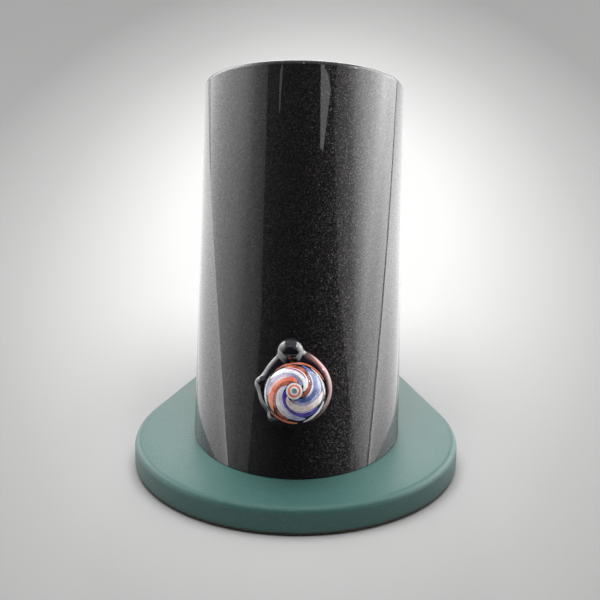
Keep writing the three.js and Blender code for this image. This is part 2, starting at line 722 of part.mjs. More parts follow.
function makeInlet() {
  const [flangeX, flangeY, flangeDepth] = INLET_FLANGE;
  const [bodyX, bodyY] = INLET_BODY;
  const seat = INLET_SEAT;
  const wallRound = crossBar(TUBE_RADIUS + GAP, -60, 60, [0, -TUBE_RADIUS], TUBE_SIDES);
  const window = block([-bodyX - GAP, bodyX + GAP], [-bodyY - GAP, bodyY + GAP], [-30, 30]);
  const screwHoles = [-1, 1].map((side) => bar(M3_HOLE, -30, 30, [0, side * INLET_SCREW_PLACE], 12));
  const saddleBlock = block([-flangeX - 3, flangeX + 3], [-flangeY - 3, flangeY + 3], [-6, seat]);
  place(inlet, 'inlet_saddle', cut(saddleBlock, [wallRound, window, ...screwHoles]), FINISH.blackPlastic());

  const low = seat + GAP;
  const face = low + flangeDepth;
  const shell = union([
    block([-flangeX, flangeX], [-flangeY, flangeY], [low, face]),
    block([-bodyX, bodyX], [-bodyY, bodyY], [-INLET_DEPTH, face]),
  ]);
  const [socketX, socketY] = INLET_SOCKET;
  const socket = block([-socketX, socketX], [-socketY, socketY], [3 - INLET_DEPTH, face + 1]);
  const flush = countersunkScrew(M3_HEAD, M3_RADIUS, 0.1, 10).rotate([180, 0, 0]).translate(0, 0, face);
  const sink = countersunkScrew(M3_HEAD + 2 * GAP, M3_RADIUS, 0, 10).rotate([180, 0, 0])
    .translate(0, 0, face + 0.1);
  const sides = [-INLET_SCREW_PLACE, INLET_SCREW_PLACE];
  const sinks = sides.map((y) => sink.translate(0, y, 0));
  place(inlet, 'mains_inlet', cut(shell, [socket, ...screwHoles, ...sinks]), FINISH.blackPlastic());
  PIN_PLACES.forEach(([x, y], i) => {
    const blade = block([x - 2, x + 2], [y - 1, y + 1], [3 - INLET_DEPTH + GAP, -4]);
    place(inlet, `inlet_pin_${i + 1}`, blade, FINISH.brass());
  });
  const recess = prism(roundPlaces(6, 1.1), face - 1.2, face + 1);
  sides.forEach((y, i) => {
    place(inlet, `inlet_screw_${i + 1}`, flush.subtract(recess).translate(0, y, 0), FINISH.zincSteel());
  });
}

// ---------------------------------------------------------------- internal wiring

function makeWires() {
  const inletBack = TUBE_RADIUS - INLET_DEPTH - 1;
  const route = (...points) => new THREE.CatmullRomCurve3(points);
  const at = (x, y, z) => new THREE.Vector3(x, y, z);
  const routes = {
    wire_live: [FINISH.brownCable(), route(
      at(0, inletBack, INLET_PLACE + 7),
      at(-4, inletBack - 8, INLET_PLACE + 12),
      at(-12, 14, INLET_PLACE + 19),
      at(-12.6, 6, 106),
      at(-12.6, 5.6, 102),
    )],
    wire_neutral: [FINISH.blueCable(), route(
      at(0, inletBack, INLET_PLACE - 7),
      at(4, inletBack - 8, INLET_PLACE - 2),
      at(-1, 18, INLET_PLACE + 12),
      at(-4.2, 8, 106),
      at(-4.2, 5.6, 102),
    )],
    wire_heater_1: [FINISH.whiteCable(), route(
      at(4.2, 5.6, 102),
      at(4.2, 5.4, 105),
      at(6.2, 1.5, 109.5),
      at(6.5, 0, 113.2),
    )],
    wire_heater_2: [FINISH.whiteCable(), route(
      at(12.6, 5.6, 102),
      at(12, 6.5, 106),
      at(2, 12, 109),
      at(-5.6, 4, 109.5),
      at(-6.5, 0, 113.2),
    )],
    wire_earth: [FINISH.greenCable(), route(
      at(3.6, inletBack, INLET_PLACE),
      at(24, inletBack - 4, INLET_PLACE - 14),
      at(32, 20, 60),
      inHousing(30, 30, FLANGE_THICKNESS + 14),
      inHousing(30, 30, FLANGE_THICKNESS + 2.8),
    )],
  };
  for (const [name, [material, curve]] of Object.entries(routes)) {
    place(housing, name, wire(curve, 1.1, 12, 3), material);
  }
  const lug = union([bar(3.4, GAP, 1.8), block([-1.6, 1.6], [0, 8], [GAP, 1.2])]);
  const seated = lug.rotate([LEAN / DEGREE, 0, 0])
    .translate(...inHousing(30, 30, FLANGE_THICKNESS).toArray());
  place(housing, 'earth_lug', seated, FINISH.copper());
}

makeBase();
makeFlange();
makeTube();
makeTopEnd();
makeHeater();
makeChassis();
makeBoard();
makePotentiometer();
makeKnob();
makeInlet();
makeWires();

export default object;
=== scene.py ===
"""Looks for the tabletop aroma heater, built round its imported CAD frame. Lengths are in metres."""

import json
import math
import random

import bmesh
import bpy
from mathutils import Matrix, Vector


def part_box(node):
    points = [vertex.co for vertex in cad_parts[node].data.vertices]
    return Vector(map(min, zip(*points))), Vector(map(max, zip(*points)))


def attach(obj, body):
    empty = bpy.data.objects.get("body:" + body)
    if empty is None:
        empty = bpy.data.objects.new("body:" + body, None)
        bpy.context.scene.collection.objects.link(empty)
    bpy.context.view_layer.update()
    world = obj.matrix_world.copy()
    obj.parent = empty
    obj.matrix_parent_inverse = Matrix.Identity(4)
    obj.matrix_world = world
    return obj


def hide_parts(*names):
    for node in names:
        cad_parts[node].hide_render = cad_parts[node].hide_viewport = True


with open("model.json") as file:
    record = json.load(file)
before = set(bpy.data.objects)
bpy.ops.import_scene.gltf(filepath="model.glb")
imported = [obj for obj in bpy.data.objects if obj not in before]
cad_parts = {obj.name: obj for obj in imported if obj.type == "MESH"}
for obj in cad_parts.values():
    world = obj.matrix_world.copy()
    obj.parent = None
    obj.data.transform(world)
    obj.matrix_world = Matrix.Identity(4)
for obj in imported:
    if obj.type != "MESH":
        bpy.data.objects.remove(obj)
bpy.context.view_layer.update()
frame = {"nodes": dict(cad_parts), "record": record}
MM = 0.001

# ---------------------------------------------------------------- driving dimensions

PAD_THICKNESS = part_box("base_pad")[1].z
PLATE_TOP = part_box("base_plate")[1].z
BASE_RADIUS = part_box("base_plate")[1].x
BASE_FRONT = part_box("base_plate")[0].y
BASE_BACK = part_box("base_plate")[1].y
TAIL_RADIUS = 26 * MM
TAIL_HALF_ANGLE = math.radians(22.5)
PLATE_ROUND = 3.5 * MM

LEAN = math.radians(30)
TUBE_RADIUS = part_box("body_tube")[1].x
BORE_RADIUS = TUBE_RADIUS - 3.2 * MM
RIM = 175.6 * MM
RIM_ROUND = 2.6 * MM
FOOT_GAP = 0.3 * MM
TOP_FACE = RIM - 4 * MM
INLET_PLACE = 88 * MM

KNOB_PLACE = 12 * MM
MARBLE_RADIUS = 14.3 * MM
MARBLE_CENTRE = Vector((0.6, -2.4, 18.6)) * MM
DISC_CENTRE = Vector((0.6, 1.4, 0)) * MM

# The housing's frame has +Z along the tube; the knob's has +Z straight out of its front wall.
HOUSING = Matrix.Translation((0, 0, PLATE_TOP)) @ Matrix.Rotation(-LEAN, 4, "X")
KNOB = (HOUSING @ Matrix.Translation((0, -TUBE_RADIUS, KNOB_PLACE))
        @ Matrix.Rotation(math.radians(90), 4, "X"))
MARBLE = KNOB @ Matrix.Translation(MARBLE_CENTRE)

# The knob's disc is round, apart from four swells: direction and half-width in degrees, then the rise
DISC_RADIUS = 17.4 * MM
DISC_BACK, DISC_FRONT, DISC_ROUND = 1.6 * MM, 9.6 * MM, 4.0 * MM
DISC_SWELLS = [(98, 30, 2.2 * MM), (174, 12, 2.0 * MM), (202, 16, 0.8 * MM), (232, 9, 0.9 * MM)]
# Rounded lumps melted into it, in millimetres: x, y, z of the centre, then the radius
DISC_LUMPS = [
    (-2.2, 18.6, 6.8, 6.7),
    (-15.0, 3.5, 6.0, 4.1),
    (-9.0, -11.6, 5.6, 3.7),
]
CORE_SHARE = 0.70
GLASS_INDEX = 1.47

# The swirl is a plain pinwheel: equal arms at equal turns, each from near the eye out to near the rim
SWIRL_ARMS = 5
ARM_TURN = 150
ARM_START, ARM_END = 0.28, 0.88

# Light level along a side panel, at each distance behind the tube's axis in metres
PANEL_SPAN = (-0.7, 1.2)
LEFT_LEVELS = [(-0.55, 0.45), (-0.24, 1.2), (0.0, 3.4), (0.34, 5.4), (0.7, 8.0)]
RIGHT_LEVELS = [(-0.55, 0.55), (-0.24, 1.3), (0.0, 5.8), (0.34, 8.4), (0.9, 6.0)]
# Share of that level at each height
PANEL_TOP = 0.95
LEFT_SHARES = [(0.0, 0.2), (0.18, 0.3), (0.35, 0.46), (0.5, 0.62)]
RIGHT_SHARES = [(0.0, 0.35), (0.18, 0.5), (0.26, 0.75), (0.45, 0.6)]
# The sweeps lie on the floor, from beside the base out to the side panels
SWEEP_SPAN = (0.09, 0.69)

# ---------------------------------------------------------------- camera

CAMERA_ELEVATION = math.radians(21.43)
CAMERA_AZIMUTH = math.radians(1.5)
CAMERA_ROLL = math.radians(0.56)
CAMERA_DISTANCE = 956 * MM
CAMERA_AIM = Vector((0, 0, 90)) * MM
CAMERA_SLIDE = Vector((1.1, -6.95)) * MM
CAMERA_LENS = 118.1


def make_camera():
    turn = Matrix.Rotation(CAMERA_AZIMUTH, 3, "Z")
    sin_e, cos_e = math.sin(CAMERA_ELEVATION), math.cos(CAMERA_ELEVATION)
    forward, up, right = Vector((0, cos_e, -sin_e)), Vector((0, sin_e, cos_e)), Vector((1, 0, 0))
    spot = turn @ (CAMERA_AIM - CAMERA_DISTANCE * forward
                   + CAMERA_SLIDE.x * right + CAMERA_SLIDE.y * up)
    rolled_right = math.cos(CAMERA_ROLL) * right + math.sin(CAMERA_ROLL) * up
    rolled_up = math.cos(CAMERA_ROLL) * up - math.sin(CAMERA_ROLL) * right
    axes = Matrix((turn @ rolled_right, turn @ rolled_up, turn @ -forward)).transposed()
    data = bpy.data.cameras.new("camera")
    data.sensor_width = 36
    data.lens = CAMERA_LENS
    data.clip_start, data.clip_end = 0.05, 50
    camera = bpy.data.objects.new("camera", data)
    camera.matrix_world = Matrix.Translation(spot) @ axes.to_4x4()
    bpy.context.scene.collection.objects.link(camera)
    bpy.context.scene.camera = camera


# ---------------------------------------------------------------- node helpers

class Shader:
    """A material's node tree, with short calls for the nodes that the finishes use."""

    def __init__(self, name):
        self.material = bpy.data.materials.new(name)
        self.material.use_nodes = True
        self.tree = self.material.node_tree
        self.tree.nodes.clear()
        self.output = self.node("ShaderNodeOutputMaterial")
        self.surface = self.node("ShaderNodeBsdfPrincipled")
        self.link(self.surface.outputs["BSDF"], self.output.inputs["Surface"])
        self.place = self.node("ShaderNodeTexCoord").outputs["Object"]

    def node(self, kind, **settings):
        made = self.tree.nodes.new(kind)
        for key, value in settings.items():
            setattr(made, key, value)
        return made

    def link(self, source, target):
        self.tree.links.new(source, target)

    def set(self, **values):
        for key, value in values.items():
            self.surface.inputs[key.replace("_", " ")].default_value = value

    def feed(self, node, **inputs):
        for key, value in inputs.items():
            by_number = key[0] == "i" and key[1:].isdigit()
            socket = node.inputs[int(key[1:]) if by_number else key]
            if isinstance(value, bpy.types.NodeSocket):
                self.link(value, socket)
            else:
                socket.default_value = value
        return node

    def noise(self, scale, detail=3.0, rough=0.55, stretch=None):
        place = self.place
        if stretch:
            mapping = self.node("ShaderNodeMapping")
            mapping.inputs["Scale"].default_value = stretch
            self.link(place, mapping.inputs["Vector"])
            place = mapping.outputs["Vector"]
        made = self.node("ShaderNodeTexNoise")
        self.feed(made, Vector=place, Scale=scale, Detail=detail, Roughness=rough)
        return made.outputs["Fac"]

    def ramp(self, factor, *stops):
        made = self.node("ShaderNodeValToRGB")
        points = made.color_ramp.elements
        while len(points) < len(stops):
            points.new(0.5)
        for point, (at, colour) in zip(points, stops):
            point.position = at
            point.color = (*colour, 1)
        self.link(factor, made.inputs["Fac"])
        return made.outputs["Color"]

    def math(self, operation, a, b=0.5):
        made = self.node("ShaderNodeMath", operation=operation)
        self.feed(made, i0=a, i1=b)
        return made.outputs["Value"]

    def mix(self, factor, a, b, blend="MIX"):
        made = self.node("ShaderNodeMix", data_type="RGBA", blend_type=blend)
        for socket, value in ((made.inputs["Factor"], factor), (made.inputs[6], a), (made.inputs[7], b)):
            if isinstance(value, bpy.types.NodeSocket):
                self.link(value, socket)
            else:
                socket.default_value = value if isinstance(value, float) else (*value, 1)
        return made.outputs[2]

    def bump(self, height, distance, strength=1.0):
        made = self.node("ShaderNodeBump")
        self.feed(made, Height=height, Distance=distance, Strength=strength)
        self.link(made.outputs["Normal"], self.surface.inputs["Normal"])

    def colour(self, socket):
        self.link(socket, self.surface.inputs["Base Color"])

    def roughness(self, factor, low, high):
        made = self.node("ShaderNodeMapRange")
        self.feed(made, Value=factor)
        made.inputs["To Min"].default_value = low
        made.inputs["To Max"].default_value = high
        self.link(made.outputs["Result"], self.surface.inputs["Roughness"])

    def shine(self, strength, colour=(1, 1, 1, 1)):
        """Makes the surface give off light in place of reflecting it."""
        light = self.node("ShaderNodeEmission")
        self.feed(light, Color=colour, Strength=strength)
        self.link(light.outputs["Emission"], self.output.inputs["Surface"])
        self.tree.nodes.remove(self.surface)


def grey(level):
    return (level, level, level)


# ---------------------------------------------------------------- finishes

def flake_paint():
    """Gloss black coat: fine metal flakes, each at its own tilt, under a smooth clear layer."""
    s = Shader("black_flake_paint")
    cells = s.node("ShaderNodeTexVoronoi", feature="F1")
    s.feed(cells, Vector=s.place, Scale=2700.0)
    split = s.node("ShaderNodeSeparateColor")
    s.link(cells.outputs["Color"], split.inputs["Color"])
    sparkle = s.ramp(split.outputs["Red"], (0.78, grey(0.0)), (1.0, grey(1.0)))
    tint = s.mix(0.6, grey(0.060), cells.outputs["Color"], "MULTIPLY")
    s.colour(s.mix(sparkle, (0.0125, 0.0128, 0.0145), tint))
    tilt = s.node("ShaderNodeVectorMath", operation="SUBTRACT")
    s.feed(tilt, i0=cells.outputs["Color"], i1=(0.5, 0.5, 0.5))
    lean = s.node("ShaderNodeVectorMath", operation="SCALE")
    s.link(tilt.outputs["Vector"], lean.inputs[0])
    lean.inputs["Scale"].default_value = 0.5
    normal = s.node("ShaderNodeNewGeometry").outputs["Normal"]
    total = s.node("ShaderNodeVectorMath", operation="ADD")
    s.feed(total, i0=normal, i1=lean.outputs["Vector"])
    unit = s.node("ShaderNodeVectorMath", operation="NORMALIZE")
    s.link(total.outputs["Vector"], unit.inputs[0])
    s.link(unit.outputs["Vector"], s.surface.inputs["Normal"])
    s.set(Metallic=0.75, Roughness=0.42, Coat_Weight=1.0, Coat_Roughness=0.015, Coat_IOR=1.52)
    peel = s.node("ShaderNodeBump")
    s.feed(peel, Height=s.noise(55.0, 1.0), Distance=0.00012, Strength=0.35)
    s.link(peel.outputs["Normal"], s.surface.inputs["Coat Normal"])
    return s.material


def satin_black():
    """Satin black paint with a fine grain."""
    s = Shader("black_plate_paint")
    grain = s.noise(2600.0, 2.0)
    s.colour(s.ramp(grain, (0.3, (0.014, 0.014, 0.016)), (0.75, (0.034, 0.035, 0.038))))
    s.roughness(s.noise(180.0), 0.34, 0.5)
    s.bump(grain, 0.00003, 0.5)
    return s.material


def powder_coat():
    """Matt blue-green powder coat: a fine orange-peel grain, with painted shade darkening its pits."""
    s = Shader("teal_powder_coat")
    grain = s.noise(1500.0, 3.0, 0.6)
    cloud = s.noise(14.0, 3.0)
    # Painted shade: the grain's low spots, which the bump sinks into pits, get the darker colour.
    base = s.ramp(grain, (0.28, (0.034, 0.104, 0.094)), (0.72, (0.068, 0.168, 0.152)))
    s.colour(s.mix(s.ramp(cloud, (0.35, grey(0.0)), (0.7, grey(0.35))), base, (0.056, 0.150, 0.135)))
    s.roughness(grain, 0.34, 0.46)
    s.set(Specular_IOR_Level=0.42)
    s.bump(grain, 0.00014, 0.8)
    return s.material


def foam_rubber():
    """Closed-cell foam."""
    s = Shader("pad_foam")
    cells = s.node("ShaderNodeTexVoronoi", feature="F1")
    s.feed(cells, Vector=s.place, Scale=1500.0)
    s.colour(s.ramp(cells.outputs["Distance"], (0.0, (0.05, 0.042, 0.035)), (0.7, (0.16, 0.135, 0.11))))
    s.set(Roughness=0.92)
    s.bump(cells.outputs["Distance"], 0.00025, 0.8)
    return s.material


def metal(name, low, high, rough=(0.22, 0.4), stretch=(1, 1, 14), mottle=0.0):
    """Bare metal with fine drawn or turned lines, and faint blotches."""
    s = Shader(name)
    lines = s.noise(420.0, 4.0, 0.6, stretch=stretch)
    blotch = s.noise(95.0, 3.0)
    tone = s.ramp(lines, (0.3, low), (0.7, high))
    s.colour(s.mix(s.ramp(blotch, (0.4, grey(0.0)), (0.75, grey(mottle))), tone, low))
    s.set(Metallic=1.0)
    s.roughness(lines, *rough)
    s.bump(lines, 0.00002, 0.4)
    return s.material


def moulded(name, low, high, rough=(0.35, 0.5), scale=1400.0):
    """Moulded plastic or cable sleeve with a fine spark-eroded texture."""
    s = Shader(name)
    grain = s.noise(scale, 2.0)
    s.colour(s.ramp(grain, (0.3, low), (0.7, high)))
    s.roughness(s.noise(60.0), *rough)
    s.bump(grain, 0.00003, 0.5)
    return s.material


def clear_glass():
    """Clear glass with a faint waviness."""
    s = Shader("clear_glass")
    faint = s.noise(26.0, 2.0)
    s.colour(s.ramp(faint, (0.3, (0.97, 0.985, 0.99)), (0.7, grey(1.0))))
    s.set(Transmission_Weight=1.0, Roughness=0.0, IOR=GLASS_INDEX)
    s.bump(faint, 0.0002, 0.12)
    return s.material


def black_glass():
    """Opaque black lampworked glass: a soft flame-polished surface, pink where clear glass laps it."""
    pink_reach, pink_side = (0.0154, 0.0174), (0.004, 0.0125)
    s = Shader("black_glass")
    axes = s.node("ShaderNodeSeparateXYZ")
    to_knob = KNOB.inverted()
    knob_place = s.node("ShaderNodeMapping")
    s.link(s.place, knob_place.inputs["Vector"])
    knob_place.inputs["Rotation"].default_value = to_knob.to_euler()
    knob_place.inputs["Location"].default_value = to_knob.translation
    s.link(knob_place.outputs["Vector"], axes.inputs["Vector"])
    radius_node = s.node("ShaderNodeVectorMath", operation="LENGTH")
    flat = s.node("ShaderNodeCombineXYZ")
    s.feed(flat, X=axes.outputs["X"], Y=axes.outputs["Y"])
    s.link(flat.outputs["Vector"], radius_node.inputs[0])
    edge = s.node("ShaderNodeMapRange")
    s.feed(edge, Value=radius_node.outputs["Value"])
    edge.inputs["From Min"].default_value, edge.inputs["From Max"].default_value = pink_reach
    side = s.node("ShaderNodeMapRange")
    s.feed(side, Value=axes.outputs["X"])
    side.inputs["From Min"].default_value, side.inputs["From Max"].default_value = pink_side
    mask = s.math("MULTIPLY", edge.outputs["Result"], side.outputs["Result"])
    streak = s.noise(160.0, 3.0)
    pink = s.ramp(streak, (0.3, (0.30, 0.045, 0.05)), (0.7, (0.55, 0.22, 0.20)))
    dark = s.ramp(s.noise(70.0), (0.3, (0.006, 0.006, 0.009)), (0.75, (0.018, 0.018, 0.026)))
    s.colour(s.mix(mask, dark, pink))
    s.set(Roughness=0.09, IOR=1.5, Coat_Weight=1.0, Coat_Roughness=0.03)
    s.bump(s.noise(90.0, 1.0), 0.0003, 0.25)
    return s.material


def core_glass():
    """Black glass under the swirl, with faint violet depth."""
    s = Shader("core_glass")
    cloud = s.noise(120.0, 3.0)
    s.colour(s.ramp(cloud, (0.35, (0.002, 0.002, 0.004)), (0.75, (0.012, 0.010, 0.026))))
    s.set(Roughness=1.0, Specular_IOR_Level=0.0)
    return s.material


def coloured_glass(name, low, high, scale=260.0):
    """Matt coloured glass, streaked from one colour to another."""
    s = Shader(name)
    streak = s.noise(scale, 3.0, 0.6)
    s.colour(s.ramp(streak, (0.32, low), (0.68, high)))
    s.set(Roughness=1.0, Specular_IOR_Level=0.0)
    return s.material


def ceramic():
    """Unglazed white ceramic."""
    s = Shader("white_ceramic")
    grain = s.noise(900.0, 4.0)
    s.colour(s.ramp(grain, (0.3, (0.70, 0.66, 0.57)), (0.7, (0.84, 0.81, 0.75))))
    s.set(Roughness=0.75)
    s.bump(grain, 0.00004, 0.6)
    return s.material


def board_laminate():
    """Solder mask over copper tracks that run along and across the board."""
    s = Shader("board_laminate")
    tracks = s.node("ShaderNodeTexBrick")
    s.feed(tracks, Vector=s.place, Scale=210.0)
    tracks.inputs["Mortar Size"].default_value = 0.035
    mask = s.ramp(tracks.outputs["Fac"], (0.3, (0.012, 0.085, 0.035)), (0.7, (0.05, 0.19, 0.08)))
    s.colour(s.mix(0.35, mask, s.ramp(s.noise(500.0), (0.3, grey(0.3)), (0.7, grey(0.7))), "OVERLAY"))
    s.set(Roughness=0.35, Coat_Weight=0.5, Coat_Roughness=0.1)
    s.bump(tracks.outputs["Fac"], 0.00003, 0.5)
    return s.material


ALUMINIUM = ((0.62, 0.63, 0.64), (0.82, 0.83, 0.84))
ZINC = ((0.42, 0.42, 0.40), (0.66, 0.66, 0.63))
FINISHES = {
    "black_flake_paint": flake_paint,
    "black_plate_paint": satin_black,
    "teal_powder_coat": powder_coat,
    "pad_foam": foam_rubber,
    "bare_aluminium": lambda: metal("bare_aluminium", *ALUMINIUM),
    "zinc_steel": lambda: metal("zinc_steel", *ZINC, rough=(0.25, 0.45), stretch=(3, 3, 3), mottle=0.6),
    "polished_steel": lambda: metal("polished_steel", *ALUMINIUM, rough=(0.08, 0.2), stretch=(1, 1, 20)),
    "clear_glass": clear_glass,
    "black_glass": black_glass,
    "core_glass": core_glass,
    "white_ceramic": ceramic,
    "resistance_wire": lambda: metal("resistance_wire", (0.10, 0.09, 0.085), (0.28, 0.25, 0.23)),
    "board_laminate": board_laminate,
    "black_plastic": lambda: moulded("black_plastic", grey(0.010), grey(0.026)),
    "blue_plastic": lambda: moulded("blue_plastic", (0.02, 0.07, 0.25), (0.05, 0.13, 0.40), (0.2, 0.35)),
    "copper_wire": lambda: metal("copper_wire", (0.42, 0.16, 0.07), (0.72, 0.34, 0.18), mottle=0.4),
    "fuse_glass": lambda: metal("fuse_glass", *ZINC, rough=(0.1, 0.2)),
    "brass": lambda: metal("brass", (0.46, 0.31, 0.10), (0.76, 0.56, 0.24), mottle=0.4),
    "brown_cable": lambda: moulded("brown_cable", (0.07, 0.03, 0.012), (0.15, 0.07, 0.03), (0.25, 0.4)),
    "blue_cable": lambda: moulded("blue_cable", (0.015, 0.05, 0.28), (0.04, 0.11, 0.45), (0.25, 0.4)),
    "white_cable": lambda: moulded("white_cable", grey(0.5), grey(0.8), (0.6, 0.8), 2600.0),
    "green_cable": lambda: moulded("green_cable", (0.05, 0.20, 0.03), (0.12, 0.38, 0.07), (0.25, 0.4)),
}
MADE = {}


def finish(slot):
    if slot not in MADE:
        MADE[slot] = FINISHES[slot]()
    return MADE[slot]


# ---------------------------------------------------------------- mesh helpers

def piece(name, mesh, place, slot, body="housing", replaces=(), material=None, sharp=38):
    """Links a mesh as a named piece of the object, riding on a CAD body, with its place in its mesh."""
    mesh.name = name
    mesh.transform(place)
    mesh.materials.clear()
    mesh.materials.append(material or finish(slot))
    mesh.shade_smooth()
    mesh.set_sharp_from_angle(angle=math.radians(sharp))
    made = bpy.data.objects.new(name, mesh)
    bpy.context.scene.collection.objects.link(made)
    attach(made, body)
    if replaces:
        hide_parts(*replaces)


def clean(bm, name="mesh"):
    bmesh.ops.remove_doubles(bm, verts=bm.verts, dist=1e-7)
    bmesh.ops.recalc_face_normals(bm, faces=bm.faces)
    mesh = bpy.data.meshes.new(name)
    bm.to_mesh(mesh)
    bm.free()
    return mesh


def filleted(corners, closed=True, steps=5, limit=0.49):
    """Outline through corners (a, b, radius), with an arc at each corner that has a radius.

    An arc takes up no more than the limit's share of each side that it joins."""
    outline = []
    for i, (x, y, radius) in enumerate(corners):
        at = Vector((x, y))
        if radius == 0 or (not closed and i in (0, len(corners) - 1)):
            outline.append(at)
            continue
        back = Vector(corners[i - 1][:2]) - at
        ahead = Vector(corners[(i + 1) % len(corners)][:2]) - at
        half = back.angle(ahead) / 2
        reach = min(radius / math.tan(half), limit * back.length, limit * ahead.length)
        start, end = at + back.normalized() * reach, at + ahead.normalized() * reach
        centre = at + (back.normalized() + ahead.normalized()).normalized() * (reach / math.cos(half))
        first = math.atan2(*(start - centre).yx)
        sweep = math.atan2(*(end - centre).yx) - first
        sweep = (sweep + math.pi) % (2 * math.pi) - math.pi
        size = (start - centre).length
        for k in range(steps + 1):
            angle = first + sweep * k / steps
            outline.append(centre + size * Vector((math.cos(angle), math.sin(angle))))
    return outline


def skin(rings, loop=False, caps=True):
    """Mesh through rings of equal point count. The end rings are capped, or joined in a loop."""
    bm = bmesh.new()
    rows = [[bm.verts.new(point) for point in ring] for ring in rings]
    count = len(rows[0])
    pairs = list(zip(rows, rows[1:])) + ([(rows[-1], rows[0])] if loop else [])
    for low, high in pairs:
        for i in range(count):
            j = (i + 1) % count
            bm.faces.new([low[i], low[j], high[j], high[i]])
    if caps and not loop:
        bm.faces.new(rows[0][::-1])
        bm.faces.new(rows[-1])
    return bm


def circle(radius, z, count):
    """Ring of points about Z. On the axis it keeps a trace of size, which is merged later."""
    size = max(radius, 1e-9)
    angles = [2 * math.pi * i / count for i in range(count)]
    return [Vector((size * math.cos(a), size * math.sin(a), z)) for a in angles]


def turned(profile, segments=96, closed=True):
    """Turned solid about Z from an outline of (radius, z). An open outline runs from axis to axis."""
    rings = [circle(radius, z, segments) for radius, z in profile]
    return clean(skin(rings, loop=closed, caps=False))


def millimetres(corners):
    return [tuple(value * MM for value in corner) for corner in corners]


def solid_of(modified):
    """The mesh of an object with its modifiers applied. The object itself is removed."""
    graph = bpy.context.evaluated_depsgraph_get()
    mesh = bpy.data.meshes.new_from_object(modified.evaluated_get(graph))
    bpy.data.objects.remove(modified)
    return mesh


# ---------------------------------------------------------------- base

def teardrop(inset, z, front_points=150, tail_points=40):
    """Ring of the base's outline at a height, moved inwards by the inset."""
    centre_y = BASE_FRONT + BASE_RADIUS
    tail_y = BASE_BACK - TAIL_RADIUS
    outline = []
    spans = [
        (BASE_RADIUS - inset, centre_y, math.pi - TAIL_HALF_ANGLE,
         math.pi + 2 * TAIL_HALF_ANGLE, front_points),
        (TAIL_RADIUS - inset, tail_y, TAIL_HALF_ANGLE, math.pi - 2 * TAIL_HALF_ANGLE, tail_points),
    ]
    for radius, middle, start, sweep, count in spans:
        for i in range(count + 1):
            angle = start + sweep * i / count
            outline.append(Vector((radius * math.cos(angle), middle + radius * math.sin(angle), z)))
    return outline


def make_base():
    """The plate's shell and the foam pad under it."""
    lower = PAD_THICKNESS
    edge = filleted([
        (12 * MM, lower, 0),
        (0, lower, 1.0 * MM),
        (0, PLATE_TOP, PLATE_ROUND),
        (12 * MM, PLATE_TOP, 0),
    ], closed=False, steps=9)
    plate = skin([teardrop(inset, z) for inset, z in edge])
    piece("base_shell", clean(plate), Matrix(), "teal_powder_coat", replaces=["base_plate"])
    rim = filleted([
        (6 * MM, 0, 0),
        (1.2 * MM, 0, 0.4 * MM),
        (1.2 * MM, PAD_THICKNESS, 0.3 * MM),
        (6 * MM, PAD_THICKNESS, 0),
    ], closed=False, steps=3)
    pad = skin([teardrop(inset, z) for inset, z in rim])
    piece("foam_pad", clean(pad), Matrix(), "pad_foam", replaces=["base_pad"])


# ---------------------------------------------------------------- tube and top end

def make_tube():
    """The housing's shell, cut off level where it stands on the base. It has no openings in its wall."""
    segments = 192
    outline = filleted([
        (BORE_RADIUS, 0, 0),
        (TUBE_RADIUS, 0, 0),
        (TUBE_RADIUS, RIM, RIM_ROUND),
        (BORE_RADIUS, RIM, 0.5 * MM),
    ], steps=10, limit=0.82)
    rings = []
    for radius, z in outline:
        ring = []
        for i in range(segments):
            angle = 2 * math.pi * i / segments
            x, y = radius * math.cos(angle), radius * math.sin(angle)
            foot = y * math.tan(LEAN) + FOOT_GAP / math.cos(LEAN)
            ring.append(Vector((x, y, foot if z == 0 else z)))
        rings.append(ring)
    shell = clean(skin(rings, loop=True))
    piece("housing_shell", shell, HOUSING, "black_flake_paint", replaces=["body_tube"])


def plate_with_holes(outer, holes, low, high, bevel=0.35 * MM):
    """Flat plate with round holes (x, y, radius) and every edge eased."""
    curve = bpy.data.curves.new("plate", "CURVE")
    curve.dimensions, curve.fill_mode = "2D", "BOTH"
    curve.extrude = (high - low) / 2 - bevel
    curve.bevel_depth, curve.bevel_resolution = bevel, 2
    rims = [(0, 0, outer - bevel, 192)] + [(x, y, radius + bevel, 40) for x, y, radius in holes]
    for x, y, radius, count in rims:
        spline = curve.splines.new("POLY")
        spline.points.add(count - 1)
        for i, point in enumerate(spline.points):
            angle = 2 * math.pi * i / count
            point.co = (x + radius * math.cos(angle), y + radius * math.sin(angle), 0, 1)
        spline.use_cyclic_u = True
    holder = bpy.data.objects.new("plate", curve)
    bpy.context.scene.collection.objects.link(holder)
    mesh = solid_of(holder)
    mesh.transform(Matrix.Translation((0, 0, (low + high) / 2)))
    return mesh


def round_places(count, radius, start=0.0):
    """Places spaced evenly on a circle."""
    angles = [start + 2 * math.pi * i / count for i in range(count)]
    return [(radius * math.cos(a), radius * math.sin(a)) for a in angles]


def socket_screw(name, node, place, corners, hex_size, depth):
    """Screw with a hexagon socket. The corners run from the foot's axis to the edge of the socket."""
    count = 48
    profile = filleted(millimetres(corners), closed=False, steps=4)
    rings = [circle(radius, z, count) for radius, z in profile]
    top = profile[-1].y
    for sink, share in ((0.0, 1.0), (depth * 0.9, 0.97), (depth, 0.8)):
        ring = []
        for i in range(count):
            angle = 2 * math.pi * i / count
            flat = hex_size * share / math.cos((angle % (math.pi / 3)) - math.pi / 6)
            ring.append(Vector((flat * math.cos(angle), flat * math.sin(angle), top - sink)))
        rings.append(ring)
    piece(name, clean(skin(rings)), place, "zinc_steel", replaces=[node])


